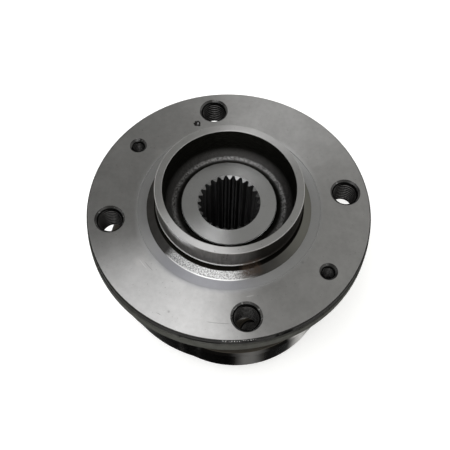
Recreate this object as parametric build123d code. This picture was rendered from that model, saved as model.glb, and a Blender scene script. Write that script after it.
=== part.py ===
from build123d import *
import math
import os

# Wheel hub bearing: a driven wheel hub that turns in a double-row angular contact ball bearing.
# Millimetres. Z is the spin axis, Z = 0 is the face that the brake disc and wheel seat on, and
# +Z points out to the wheel. +X runs through one wheel bolt hole.

# ---- wheel flange ----
WHEEL_PITCH_CIRCLE = 108.0          # diameter through the wheel bolt holes
WHEEL_BOLT_COUNT = 4
WHEEL_THREAD_RADIUS = 6.0           # M12 x 1.5, major radius
WHEEL_HOLE_MOUTH = 0.88             # countersink beyond the thread
SCREW_COUNT = 2                     # brake disc screws, on the same circle
SCREW_ANGLE = -45.0                 # first disc screw hole, degrees from +X
SCREW_THREAD_RADIUS = 3.0           # M6, major radius
SCREW_HOLE_MOUTH = 1.08
HOLE_BACK_BEVEL = 0.6               # on the inboard end of every flange hole
FLANGE_THICKNESS = 10.1             # at the rim and over the bearing
BOLT_RING_THICKNESS = 16.0          # of the raised ring on the back that carries the threads
BOLT_RING_HALF_WIDTH = 7.6
BOLT_RING_DRAFT = 1.3               # how much wider each side of it is at its root
BOLT_RING_ROUND = 1.5
RIM_BEYOND_HOLES = 10.33            # from the bolt circle to the turned rim
TURNED_BAND_HEIGHT = 3.6            # the machined upper part of the rim
RIM_BEVEL = 0.69
RIM_GROOVE_DEPTH = 0.2              # tool run-out line under the turned band
RIM_GROOVE_WIDTH = 0.25
FORGED_STEP = 0.45                  # how far the forged part of the rim stands out
FORGED_FLARE = 0.2                  # and how much more it grows towards its lower edge
FORGED_EDGE_ROUND = 1.2
BACK_ROUND = 5.0                    # from the back of the flange into the seal surface
DIMPLE_RADIUS = 1.15                # hardness test mark in the face
DIMPLE_DEPTH = 0.45
DIMPLE_INSIDE_HOLES = 6.0           # from the bolt circle in to the mark
DIMPLE_ANGLE = 100.7

# ---- pilot collar, recess and boss ----
COLLAR_RADIUS = 32.77
COLLAR_HEIGHT = 16.63
COLLAR_WALL = 3.59                  # at the top
COLLAR_BEVEL = 0.35
LIP_HEIGHT = 6.0                    # top of the thin ridge under the pilot surface
LIP_WIDTH = 0.45
LIP_STEP = 0.22                     # how far the ridge stands out
UNDERCUT_DEPTH = 1.1
UNDERCUT_ROUND = 0.3
FOOT_HEIGHT = 2.4                   # the cone at the collar's foot
FOOT_INNER_STEP = 0.75
FOOT_RADIUS = 37.3
RELIEF_RADIUS = 41.7                # shallow ring turned into the face around the foot
RELIEF_DEPTH = 0.12
RECESS_DRAFT = 0.55                 # how much narrower the recess is at its bottom
TROUGH_HEIGHT = 1.0                 # of the recess floor above the wheel face
TROUGH_OUTER_ROUND = 4.2
TROUGH_INNER_ROUND = 1.0
BOSS_RADIUS = 21.5
BOSS_HEIGHT = 2.8
BOSS_BEVEL = 0.25

# ---- splined bore ----
SPLINE_TEETH = 25
SPLINE_TIP_RADIUS = 12.7
SPLINE_ROOT_RADIUS = 14.15
SPLINE_TIP_WIDTH = 0.5
SPLINE_ROOT_WIDTH = 2.75            # of a tooth, where it leaves the bore
SPLINE_ANGLE = 8.7                  # first tooth, degrees from +X
SPLINE_MOUTH_DROP = 0.9             # depth of the lead-in cone at each end

# ---- bearing rows ----
BALL_DIAMETER = 12.0
PITCH_RADIUS = 31.0                 # of the ball centres
ROW_SPACING = 22.0
CONTACT_ANGLE = 38.0
RACE_CLEARANCE = 0.1                # between ball and race along the contact line
RACE_CONFORMITY = 0.52              # race radius as a share of the ball diameter
INNER_SHOULDER_HEIGHT = 4.1
OUTER_SHOULDER_HEIGHT = 2.8
RACE_LAND = 0.15                    # height of the low side of each race above its bottom
CAGE_INSIDE_PITCH = 1.4             # cage bore below the pitch radius
CAGE_OUTSIDE_PITCH = 2.6            # cage outside above the pitch radius
CAGE_BACK = 1.2                     # solid ring behind the pockets
CAGE_FINGER = 3.4                   # how far the fingers reach past the ball centres
CAGE_WEB = 0.8                      # least thickness between two pockets
POCKET_CLEARANCE = 0.15
CAGE_TO_SEAL = 0.6

# ---- outer ring ----
FLANGE_TO_RING = 4.0                # gap between the wheel flange and the outer ring
RING_WALL = 4.4                     # behind the races
RING_END_BEVEL = 0.8
SEAL_SEAT_DEPTH = 1.1               # seal seats beyond the race radius
SEAL_RECESS = 0.4                   # inboard seal set in from the ring's end
MOUNT_FACE_DEPTH = 50.5             # knuckle face below the wheel face
MOUNT_THICKNESS = 16.0
MOUNT_HOLE_TO_RING = 7.3            # least distance from a hole's axis to the ring
MOUNT_RIM_BEYOND_HOLES = 8.2        # from the hole circle to the round part of the flange
MOUNT_CORNER_STEP = 2.6             # how far its four corners stand out
MOUNT_CORNER_ROUND = 45.0
MOUNT_CORNER_BLEND = 30.0           # rounds the joint between a corner and the round part
MOUNT_ANGLE = -84.4                 # first corner, degrees from +X
MOUNT_BEVEL = 1.3
MOUNT_FILLET = 2.0                  # where the flange meets the ring
MOUNT_BOLT_COUNT = 4
MOUNT_THREAD_RADIUS = 6.0           # M12, major radius
MOUNT_HOLE_BEVEL = 0.8
SPIGOT_RADIUS = 41.0
SPIGOT_LEAD_IN = 1.5

# ---- inner ring and swaged end ----
INNER_RING_WALL = 4.3               # under the race
INNER_RING_BEVEL = 0.6
INNER_RING_PROUD = 1.0              # beyond the outer ring's end
SWAGE_THICKNESS = 4.4
SWAGE_OVERHANG = 5.4                # beyond the seat
SWAGE_ROUND = 2.4

# ---- seals ----
SHEET_THICKNESS = 0.8               # pressed seal cases and the slinger
OUTBOARD_SEAL_WIDTH = 4.0
INBOARD_SEAL_WIDTH = 4.2
CASE_LIP_GAP = 4.0                  # from the case's inner edge to the shoulder it guards
SEAL_LIP_CLEARANCE = 0.1
AXIAL_LIP_REACH = 0.55              # of the gap under the wheel flange
RUBBER_OVERHANG = 0.4               # rubber wrapped round the case's inner edge
RUBBER_COVER = 1.6                  # how far it covers the web from that edge
RUBBER_SKIN = 0.8                   # its thickness there
RADIAL_LIP_WIDTH = 0.5              # the edge that wipes the sleeve
RADIAL_LIP_ROOT = 1.3               # from the wiped surface to where the lip begins
AXIAL_LIP_WIDTH = 0.5
AXIAL_LIP_FLARE = 0.3               # how much wider the axial lip is at its root, each side
SLINGER_GAP = 0.5                   # between the slinger's rim and the inboard case
ENCODER_THICKNESS = 1.0
ENCODER_INSET = 1.2                 # encoder bore outside the slinger's sleeve
ENCODER_RIM = 0.2                   # slinger rim left bare around the encoder

CUT_OVERRUN = 1.0                   # how far cuts run past the metal they take away

# ---- worked out ----
ball_radius = BALL_DIAMETER / 2
race_radius = RACE_CONFORMITY * BALL_DIAMETER
race_offset = race_radius - ball_radius - RACE_CLEARANCE
contact = math.radians(CONTACT_ANGLE)
inner_race_bottom = PITCH_RADIUS + race_offset * math.cos(contact) - race_radius
outer_race_top = PITCH_RADIUS - race_offset * math.cos(contact) + race_radius
inner_shoulder = inner_race_bottom + INNER_SHOULDER_HEIGHT
outer_shoulder = outer_race_top - OUTER_SHOULDER_HEIGHT
inner_land = inner_race_bottom + RACE_LAND
outer_land = outer_race_top - RACE_LAND
ring_radius = outer_race_top + RING_WALL
turned_band_radius = WHEEL_PITCH_CIRCLE / 2 + RIM_BEYOND_HOLES
seal_seat = outer_race_top + SEAL_SEAT_DEPTH
seat_radius = inner_race_bottom - INNER_RING_WALL

pocket_radius = ball_radius + POCKET_CLEARANCE
cage_inner = PITCH_RADIUS - CAGE_INSIDE_PITCH
cage_outer = PITCH_RADIUS + CAGE_OUTSIDE_PITCH
ball_count = math.floor(math.pi / math.asin((2 * pocket_radius + CAGE_WEB) / (2 * cage_inner)))

flange_back = -FLANGE_THICKNESS
bolt_ring_back = -BOLT_RING_THICKNESS
ring_top = flange_back - FLANGE_TO_RING
outboard_case_inner = ring_top - OUTBOARD_SEAL_WIDTH
seal_to_row = RUBBER_OVERHANG + CAGE_TO_SEAL + CAGE_BACK + pocket_radius
outboard_row = outboard_case_inner - seal_to_row
inboard_row = outboard_row - ROW_SPACING
inboard_case_inner = inboard_row - seal_to_row
inboard_case_end = inboard_case_inner - INBOARD_SEAL_WIDTH
ring_end = inboard_case_end - SEAL_RECESS
inner_ring_end = ring_end - INNER_RING_PROUD
inner_ring_top = (outboard_row + inboard_row) / 2
hub_end = inner_ring_end - SWAGE_THICKNESS
mount_face = -MOUNT_FACE_DEPTH
mount_top = mount_face + MOUNT_THICKNESS
mount_pitch_circle = math.ceil(2 * (ring_radius + MOUNT_HOLE_TO_RING))   # to a whole millimetre
mount_radius = mount_pitch_circle / 2 + MOUNT_RIM_BEYOND_HOLES

case_edge = inner_shoulder + CASE_LIP_GAP
sleeve_radius = inner_shoulder + SHEET_THICKNESS
slinger_rim = seal_seat - SHEET_THICKNESS - SLINGER_GAP
slinger_face = inboard_case_end + SHEET_THICKNESS


def turned(*corners):
    """Solid turned about Z from a closed loop of corners (radius, height[, edge]).

    A positive edge rounds the corner to that radius, a negative one bevels it by that length.
    """
    points, rounding = [], []
    for index, corner in enumerate(corners):
        here = Vector(corner[0], corner[1])
        edge = corner[2] if len(corner) > 2 else 0
        if edge >= 0:
            points.append(here)
            rounding.append(edge)
            continue
        for other in (corners[index - 1], corners[(index + 1) % len(corners)]):
            along = (Vector(other[0], other[1]) - here).normalized()
            points.append(here + along * -edge)
            rounding.append(0)
    outline = Plane.XZ * FilletPolyline(*points, radius=rounding, close=True)
    return revolve(make_face(outline), axis=Axis.Z)


def race(row, side):
    """Ring cut that leaves a race; side is +1 for the outer race and -1 for the inner one.

    The two rows lean apart at the axis, so the outboard row's outer contact lies inboard.
    """
    outboard = 1 if row > inner_ring_top else -1
    radius = PITCH_RADIUS - side * race_offset * math.cos(contact)
    height = row + side * outboard * race_offset * math.sin(contact)
    return Pos(0, 0, height) * Torus(radius, race_radius)


def ring_of_holes(radius, pitch_circle, count, first_angle, top, bottom, top_bevel, bottom_bevel):
    """Round holes on a circle, bevelled at both mouths."""
    hole = turned(
        (0, top + CUT_OVERRUN),
        (radius + top_bevel + CUT_OVERRUN, top + CUT_OVERRUN),
        (radius, top - top_bevel),
        (radius, bottom + bottom_bevel),
        (radius + bottom_bevel + CUT_OVERRUN, bottom - CUT_OVERRUN),
        (0, bottom - CUT_OVERRUN),
    )
    places = PolarLocations(pitch_circle / 2, count, start_angle=first_angle)
    return [place * hole for place in places]


def spline_space():
    """Everything cut away to leave the splined bore and its lead-in cones."""
    tooth_root = SPLINE_ROOT_RADIUS + CUT_OVERRUN
    flank = (SPLINE_ROOT_WIDTH - SPLINE_TIP_WIDTH) / (SPLINE_ROOT_RADIUS - SPLINE_TIP_RADIUS)
    outer_width = SPLINE_ROOT_WIDTH + flank * (tooth_root - SPLINE_ROOT_RADIUS)
    tooth = make_face(Polyline(
        (SPLINE_TIP_RADIUS, -SPLINE_TIP_WIDTH / 2),
        (tooth_root, -outer_width / 2),
        (tooth_root, outer_width / 2),
        (SPLINE_TIP_RADIUS, SPLINE_TIP_WIDTH / 2),
        close=True,
    ))
    section = Circle(SPLINE_ROOT_RADIUS)
    for index in range(SPLINE_TEETH):
        section -= Rot(0, 0, SPLINE_ANGLE + 360 / SPLINE_TEETH * index) * tooth
    space = extrude(Pos(0, 0, hub_end) * section, BOSS_HEIGHT - hub_end)
    slope = (SPLINE_ROOT_RADIUS - SPLINE_TIP_RADIUS) / SPLINE_MOUTH_DROP
    reach = SPLINE_MOUTH_DROP + CUT_OVERRUN
    for end, inward in ((BOSS_HEIGHT, -1), (hub_end, 1)):
        outside = end - inward * CUT_OVERRUN
        space += turned(
            (0, outside),
            (SPLINE_ROOT_RADIUS + slope * CUT_OVERRUN, outside),
            (SPLINE_ROOT_RADIUS - slope * SPLINE_MOUTH_DROP, end + inward * SPLINE_MOUTH_DROP),
            (0, end + inward * reach),
        )
    return space


def wheel_hub():
    """One forging: flange, pilot collar, boss, outboard inner race, spindle and swaged end."""
    recess_top = COLLAR_RADIUS - COLLAR_WALL
    recess_bottom = recess_top - RECESS_DRAFT
    trough_width = recess_bottom - BOSS_RADIUS
    inner_round = min(TROUGH_INNER_ROUND, 0.35 * trough_width)
    outer_round = min(TROUGH_OUTER_ROUND, 0.6 * trough_width)
    undercut_radius = COLLAR_RADIUS - UNDERCUT_DEPTH
    lip_radius = COLLAR_RADIUS + LIP_STEP
    groove_radius = turned_band_radius - RIM_GROOVE_DEPTH
    groove_top = -TURNED_BAND_HEIGHT
    forged_radius = turned_band_radius + FORGED_STEP
    swage_radius = seat_radius + SWAGE_OVERHANG
    bolt_ring_inner = WHEEL_PITCH_CIRCLE / 2 - BOLT_RING_HALF_WIDTH
    bolt_ring_outer = WHEEL_PITCH_CIRCLE / 2 + BOLT_RING_HALF_WIDTH
    hub = turned(
        (0, BOSS_HEIGHT),
        (BOSS_RADIUS, BOSS_HEIGHT, -BOSS_BEVEL),
        (BOSS_RADIUS, TROUGH_HEIGHT, inner_round),
        (recess_bottom, TROUGH_HEIGHT, outer_round),
        (recess_top, COLLAR_HEIGHT, -COLLAR_BEVEL),
        (COLLAR_RADIUS, COLLAR_HEIGHT, -COLLAR_BEVEL),
        (COLLAR_RADIUS, LIP_HEIGHT + LIP_STEP),
        (lip_radius, LIP_HEIGHT),
        (lip_radius, LIP_HEIGHT - LIP_WIDTH),
        (undercut_radius, LIP_HEIGHT - LIP_WIDTH),
        (undercut_radius, FOOT_HEIGHT, UNDERCUT_ROUND),
        (COLLAR_RADIUS + FOOT_INNER_STEP, FOOT_HEIGHT, UNDERCUT_ROUND),
        (FOOT_RADIUS, -RELIEF_DEPTH),
        (RELIEF_RADIUS - RELIEF_DEPTH, -RELIEF_DEPTH),
        (RELIEF_RADIUS, 0),
        (turned_band_radius, 0, -RIM_BEVEL),
        (turned_band_radius, groove_top),
        (groove_radius, groove_top - RIM_GROOVE_DEPTH),
        (groove_radius, groove_top - RIM_GROOVE_DEPTH - RIM_GROOVE_WIDTH),
        (forged_radius, groove_top - RIM_GROOVE_DEPTH - RIM_GROOVE_WIDTH - FORGED_STEP),
        (forged_radius + FORGED_FLARE, flange_back, FORGED_EDGE_ROUND),
        (bolt_ring_outer + BOLT_RING_DRAFT, flange_back),
        (bolt_ring_outer, bolt_ring_back, BOLT_RING_ROUND),
        (bolt_ring_inner, bolt_ring_back, BOLT_RING_ROUND),
        (bolt_ring_inner - BOLT_RING_DRAFT, flange_back),
        (inner_shoulder, flange_back, BACK_ROUND),
        (inner_shoulder, outboard_row),
        (inner_land, outboard_row),
        (inner_land, inner_ring_top),
        (seat_radius, inner_ring_top),
        (seat_radius, inner_ring_end),
        (swage_radius, inner_ring_end),
        (swage_radius, hub_end, SWAGE_ROUND),
        (0, hub_end),
    )
    hub -= race(outboard_row, -1)
    hub -= spline_space()
    hub -= ring_of_holes(WHEEL_THREAD_RADIUS, WHEEL_PITCH_CIRCLE, WHEEL_BOLT_COUNT, 0,
                         0, bolt_ring_back, WHEEL_HOLE_MOUTH, HOLE_BACK_BEVEL)
    hub -= ring_of_holes(SCREW_THREAD_RADIUS, WHEEL_PITCH_CIRCLE, SCREW_COUNT, SCREW_ANGLE,
                         0, bolt_ring_back, SCREW_HOLE_MOUTH, HOLE_BACK_BEVEL)
    dent_radius = (DIMPLE_RADIUS ** 2 + DIMPLE_DEPTH ** 2) / (2 * DIMPLE_DEPTH)
    dent_from_axis = WHEEL_PITCH_CIRCLE / 2 - DIMPLE_INSIDE_HOLES
    dent = Pos(dent_from_axis, 0, dent_radius - DIMPLE_DEPTH) * Sphere(dent_radius)
    return hub - Rot(0, 0, DIMPLE_ANGLE) * dent


def inner_ring():
    """Inboard inner race, pressed on the spindle and clamped by the swaged end."""
    ring = turned(
        (seat_radius, inner_ring_top, -INNER_RING_BEVEL),
        (inner_land, inner_ring_top),
        (inner_land, inboard_row),
        (inner_shoulder, inboard_row),
        (inner_shoulder, inner_ring_end, -INNER_RING_BEVEL),
        (seat_radius, inner_ring_end, -INNER_RING_BEVEL),
    )
    return ring - race(inboard_row, -1)


def outer_ring():
    """Both outer races in one ring, with the flange that bolts to the knuckle."""
    ring = turned(
        (seal_seat, ring_top),
        (ring_radius, ring_top, -RING_END_BEVEL),
        (ring_radius, mount_top, MOUNT_FILLET),
        (ring_radius + 2 * MOUNT_FILLET, mount_top),
        (ring_radius + 2 * MOUNT_FILLET, mount_face),
        (SPIGOT_RADIUS, mount_face),
        (SPIGOT_RADIUS, ring_end, -SPIGOT_LEAD_IN),
        (seal_seat, ring_end),
        (seal_seat, inboard_case_inner),
        (outer_land, inboard_case_inner),
        (outer_land, inboard_row),
        (outer_shoulder, inboard_row),
        (outer_shoulder, outboard_row),
        (outer_land, outboard_row),
        (outer_land, outboard_case_inner),
        (seal_seat, outboard_case_inner),
    )
    outline = Circle(mount_radius)
    corner_centre = mount_radius + MOUNT_CORNER_STEP - MOUNT_CORNER_ROUND
    corners = PolarLocations(corner_centre, MOUNT_BOLT_COUNT, start_angle=MOUNT_ANGLE)
    for corner in corners:
        outline += corner * Circle(MOUNT_CORNER_ROUND)
    outline = fillet(outline.vertices(), MOUNT_CORNER_BLEND)
    plate = extrude(Pos(0, 0, mount_face) * outline, MOUNT_THICKNESS)
    plate = chamfer(plate.faces().sort_by(Axis.Z)[0].edges(), MOUNT_BEVEL)
    plate = chamfer(plate.faces().sort_by(Axis.Z)[-1].edges(), MOUNT_BEVEL)
    plate -= Pos(0, 0, mount_face) * Cylinder(ring_radius + MOUNT_FILLET, 3 * MOUNT_THICKNESS)
    ring += plate
    ring -= race(outboard_row, 1)
    ring -= race(inboard_row, 1)
    ring -= ring_of_holes(MOUNT_THREAD_RADIUS, mount_pitch_circle, MOUNT_BOLT_COUNT, MOUNT_ANGLE,
                          mount_top, mount_face, MOUNT_HOLE_BEVEL, MOUNT_HOLE_BEVEL)
    return ring


def cage(row):
    """Snap cage of one row: a ring with a round pocket for each ball, its back to the seal."""
    away = 1 if row > inner_ring_top else -1
    back = row + away * (pocket_radius + CAGE_BACK)
    tips = row - away * CAGE_FINGER
    ring = turned((cage_inner, tips), (cage_outer, tips), (cage_outer, back), (cage_inner, back))
    pockets = [place * Sphere(pocket_radius) for place in ball_places(row)]
    return ring - pockets


def ball_places(row):
    """Centres of the balls of one row."""
    return [Pos(0, 0, row) * place for place in PolarLocations(PITCH_RADIUS, ball_count)]


def seal_case(inner_face, open_end):
    """Pressed steel ring in its seat in the outer ring, its web on the bearing side."""
    web = SHEET_THICKNESS if open_end > inner_face else -SHEET_THICKNESS
    return turned(
        (seal_seat, open_end),
        (seal_seat, inner_face),
        (case_edge, inner_face),
        (case_edge, inner_face + web),
        (seal_seat - SHEET_THICKNESS, inner_face + web),
        (seal_seat - SHEET_THICKNESS, open_end),
    )


def seal_lip(inner_face, outward, wiped_radius, axial_tip):
    """Rubber bonded to a case: a radial lip on the wiped sleeve and an axial lip."""
    web = inner_face + outward * SHEET_THICKNESS
    skin = web + outward * RUBBER_SKIN
    lip_radius = wiped_radius + SEAL_LIP_CLEARANCE
    axial_outer = case_edge + RUBBER_COVER - AXIAL_LIP_FLARE
    axial_inner = axial_outer - AXIAL_LIP_WIDTH
    return turned(
        (case_edge + RUBBER_COVER, web),
        (case_edge + RUBBER_COVER, skin),
        (axial_outer, axial_tip),
        (axial_inner, axial_tip),
        (axial_inner - AXIAL_LIP_FLARE, skin),
        (lip_radius + RADIAL_LIP_ROOT, skin),
        (lip_radius, skin + outward * RADIAL_LIP_WIDTH),
        (lip_radius, skin),
        (lip_radius + RADIAL_LIP_ROOT, inner_face - outward * RUBBER_OVERHANG),
        (case_edge, inner_face - outward * RUBBER_OVERHANG),
        (case_edge, web),
    )


def inboard_slinger():
    """Pressed steel sleeve and disc on the inner ring's shoulder, closing the inboard seal."""
    return turned(
        (inner_shoulder, inboard_case_inner),
        (sleeve_radius, inboard_case_inner),
        (sleeve_radius, slinger_face),
        (slinger_rim, slinger_face),
        (slinger_rim, inboard_case_end),
        (inner_shoulder, inboard_case_end),
    )


def speed_encoder():
    """Magnetised rubber ring bonded to the slinger's outer face, read by a wheel speed sensor."""
    bore = sleeve_radius + ENCODER_INSET
    rim = slinger_rim - ENCODER_RIM
    outer_face = inboard_case_end - ENCODER_THICKNESS
    return turned((bore, inboard_case_end), (rim, inboard_case_end), (rim, outer_face),
                  (bore, outer_face))


def build():
    """Every piece by the name of its node."""
    pieces = {
        "wheel_hub": wheel_hub(),
        "inner_ring": inner_ring(),
        "outer_ring": outer_ring(),
        "outboard_seal_case": seal_case(outboard_case_inner, ring_top),
        "outboard_seal_lip": seal_lip(outboard_case_inner, 1, inner_shoulder,
                                      ring_top + AXIAL_LIP_REACH * FLANGE_TO_RING),
        "inboard_seal_case": seal_case(inboard_case_inner, inboard_case_end),
        "inboard_seal_lip": seal_lip(inboard_case_inner, -1, sleeve_radius,
                                     slinger_face + SEAL_LIP_CLEARANCE),
        "inboard_slinger": inboard_slinger(),
        "speed_encoder_ring": speed_encoder(),
    }
    for name, row in (("outboard", outboard_row), ("inboard", inboard_row)):
        pieces[f"cage_{name}"] = cage(row)
        for number, place in enumerate(ball_places(row), start=1):
            pieces[f"ball_{name}_{number:02d}"] = place * Sphere(ball_radius)
    return pieces


os.makedirs("parts", exist_ok=True)
for node, shape in build().items():
    export_step(shape, f"parts/{node}.step")
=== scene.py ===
import math

import bmesh
import bpy
from bpy.props import FloatProperty, FloatVectorProperty, IntProperty, PointerProperty
from mathutils import Matrix, Vector


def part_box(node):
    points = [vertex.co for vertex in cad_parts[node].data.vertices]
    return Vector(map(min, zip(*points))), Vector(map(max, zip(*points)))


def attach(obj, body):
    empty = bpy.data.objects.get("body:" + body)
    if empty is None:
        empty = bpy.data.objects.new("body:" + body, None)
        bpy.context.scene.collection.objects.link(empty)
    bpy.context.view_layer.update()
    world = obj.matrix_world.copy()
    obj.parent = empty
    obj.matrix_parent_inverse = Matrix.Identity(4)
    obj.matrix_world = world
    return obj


bl_info = {
    "name": "Wheel Hub Bearing",
    "version": (1, 0, 0),
    "blender": (4, 5, 0),
    "location": "3D View > Sidebar > Hub Bearing",
    "description": "Finishes a driven wheel hub and its bearing in a plain studio",
    "category": "Object",
}

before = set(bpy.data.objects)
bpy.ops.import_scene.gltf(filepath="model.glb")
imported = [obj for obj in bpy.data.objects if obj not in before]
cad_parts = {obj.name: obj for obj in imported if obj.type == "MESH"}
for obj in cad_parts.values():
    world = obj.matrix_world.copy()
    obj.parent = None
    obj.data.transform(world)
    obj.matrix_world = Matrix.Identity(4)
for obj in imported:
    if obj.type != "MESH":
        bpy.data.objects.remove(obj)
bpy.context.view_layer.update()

MM = 0.001

hub_low, hub_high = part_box("wheel_hub")

# Heights and radii where one finish of the hub meets the next, in millimetres.
COLLAR_TOP = hub_high.z / MM
FLANGE_RIM = hub_high.x / MM
BOSS_TOP = 2.8
BOSS_RADIUS = 21.5
BORE_RADIUS = 14.15
LEAD_IN_SLOPE = 1.61                # of the cones that open the splines at each end
RECESS_RADIUS = 29.3
RECESS_FLOOR = 1.0
FLOOR_HIGHLIGHT_RADIUS = 24.9
FOOT_INNER = 33.4
FOOT_OUTER = 37.3
RELIEF_OUTER = 41.7
TURNED_BAND_END = -3.75
FLANGE_BACK = -10.1
BOLT_RING_BACK = -16.0
HOLE_CIRCLE = 54.0
WHEEL_HOLE_REACH = 6.95
SCREW_HOLE_REACH = 4.15
FACE_FEED = 0.0025                  # height of the tool marks on the wheel face
PUNCH_MARK = (-8.9, 47.2)

COLLAR_WALL_INSIDE = 31.0           # inner limit of the pilot surface's finish
LIP_INSIDE = 32.4
LIP_SPAN = (5.35, 6.25)             # lowest and highest point of the ridge
UNDERCUT_INSIDE = 30.5
UNDERCUT_SPAN = (2.2, 5.45)
LIT_FLOOR_INSIDE = 23.4

# Holes: circle they lie on, how many, and azimuth of the first.
WHEEL_BOLTS = (HOLE_CIRCLE, 4, 0.0)
DISC_SCREWS = (HOLE_CIRCLE, 2, -45.0)

# Thread radii and the height, above or below the wheel face, where the threads begin.
WHEEL_THREAD = 6.0
SCREW_THREAD = 3.0
MOUNT_THREAD = 6.0
WHEEL_THREAD_TOP = -1.0
SCREW_THREAD_TOP = -1.2
WHEEL_THREAD_STOP = 0.45            # how far short of the bolt ring's back they end
SCREW_THREAD_STOP = 0.6
MOUNT_THREAD_STOP = 0.9             # short of each side of the knuckle flange
THREAD_DEPTH = 0.54                 # of a ridge, as a share of the pitch

# Stretches of the hub with a painted tone: first and last azimuth. All but the brown patch and
# the chipped edge are painted light and shade. They turn with the hub and don't follow the light.
SHADED_RELIEF = (-148.0, -82.0)
HIGHLIT_FOOT = (-144.0, -87.0)
LIT_OLIVE_FOOT = (-52.0, 40.0)
HIGHLIT_COLLAR = (-148.0, -128.0)
SHADED_COLLAR = (-82.0, 0.0)
HIGHLIT_LIP = (-162.0, -80.0)
BROWN_COLLAR_PATCH = (-89.0, -74.0)
BRIGHT_FLOOR_STRETCH = (-30.0, 128.0)
CHIPPED_EDGE = (-101.0, -88.0)

# Stains of the wheel face: x, y, reach and level of grey.
FACE_STAINS = (
    (27.6, -32.3, 1.3, 0.16),
    (-32.0, -47.6, 0.9, 0.2),
    (-42.1, -23.1, 4.5, 0.68),
    (-28.4, 33.1, 3.5, 0.66),
)

# Scratches of the wheel face: radius, first and last azimuth, and level of grey.
FACE_SCRATCHES = (
    (56.6, -107.0, -98.0, 0.2),
    (45.1, -88.5, -84.5, 0.95),
    (60.1, -127.8, -126.2, 0.12),
    (47.6, -152.5, -146.5, 0.85),
    (46.3, -149.5, -143.5, 0.25),
)

# Bruises of the flange's rim: first and last azimuth, lowest and highest point.
RIM_NICKS = (
    (-80.5, -73.5, -3.0, -0.5),
    (-93.0, -88.0, -2.2, -0.9),
    (-117.0, -101.0, -3.2, -2.2),
)

# Outer ring, in millimetres.
MOUNT_FACE = -50.5
MOUNT_TOP = -34.5
MOUNT_HOLE_CIRCLE = 49.0
MOUNT_HOLE_REACH = 6.9
MOUNT_ANGLE = -84.4
KNUCKLE_BOLTS = (MOUNT_HOLE_CIRCLE, 4, MOUNT_ANGLE)

# Painted reflections: bright streaks down the outer ring, as azimuth, width and level of grey.
# They are painted too, and turn with the ring.
RING_REFLECTIONS = (
    (-120.3, 1.4, 0.05),
    (-111.4, 0.7, 0.03),
    (-88.0, 5.0, 0.19),
    (-60.5, 5.0, 1.0),
    (-30.0, 2.0, 0.08),
    (15.0, 3.5, 0.1),
    (72.0, 1.5, 0.09),
    (118.0, 3.0, 0.1),
    (165.0, 2.0, 0.07),
)


# ---------------------------------------------------------------- node maths


class Value:
    """A number or vector in a node tree. Arithmetic on it adds Math nodes."""

    def __init__(self, tree, socket):
        self.tree = tree
        self.socket = socket

    def maths(self, operation, *others):
        inputs = dict(enumerate((self, *others)))
        return self.tree.add("ShaderNodeMath", inputs, operation=operation)

    def __add__(self, other):
        return self.maths("ADD", other)

    def __sub__(self, other):
        return self.maths("SUBTRACT", other)

    def __mul__(self, other):
        return self.maths("MULTIPLY", other)

    def __truediv__(self, other):
        return self.maths("DIVIDE", other)

    def __pow__(self, other):
        return self.maths("POWER", other)

    def __mod__(self, other):
        return self.maths("FLOORED_MODULO", other)

    def __radd__(self, other):
        return self.tree.number(other) + self

    def __rsub__(self, other):
        return self.tree.number(other) - self

    def __abs__(self):
        return self.maths("ABSOLUTE")

    def least(self, other):
        return self.maths("MINIMUM", other)

    def most(self, other):
        return self.maths("MAXIMUM", other)


class Tree:
    """A node tree and the one method that adds any node to it."""

    def __init__(self, tree):
        self.tree = tree

    def add(self, kind, inputs=None, output=0, **settings):
        node = self.tree.nodes.new(kind)
        for name, setting in settings.items():
            setattr(node, name, setting)
        for slot, value in (inputs or {}).items():
            self.feed(node.inputs[slot], value)
        return Value(self, node.outputs[output]) if len(node.outputs) else node

    def feed(self, socket, value):
        if isinstance(value, Value):
            self.tree.links.new(value.socket, socket)
        else:
            socket.default_value = value

    def number(self, value):
        if isinstance(value, Value):
            return value
        return self.add("ShaderNodeMath", {0: value, 1: 0.0}, operation="ADD")


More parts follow.
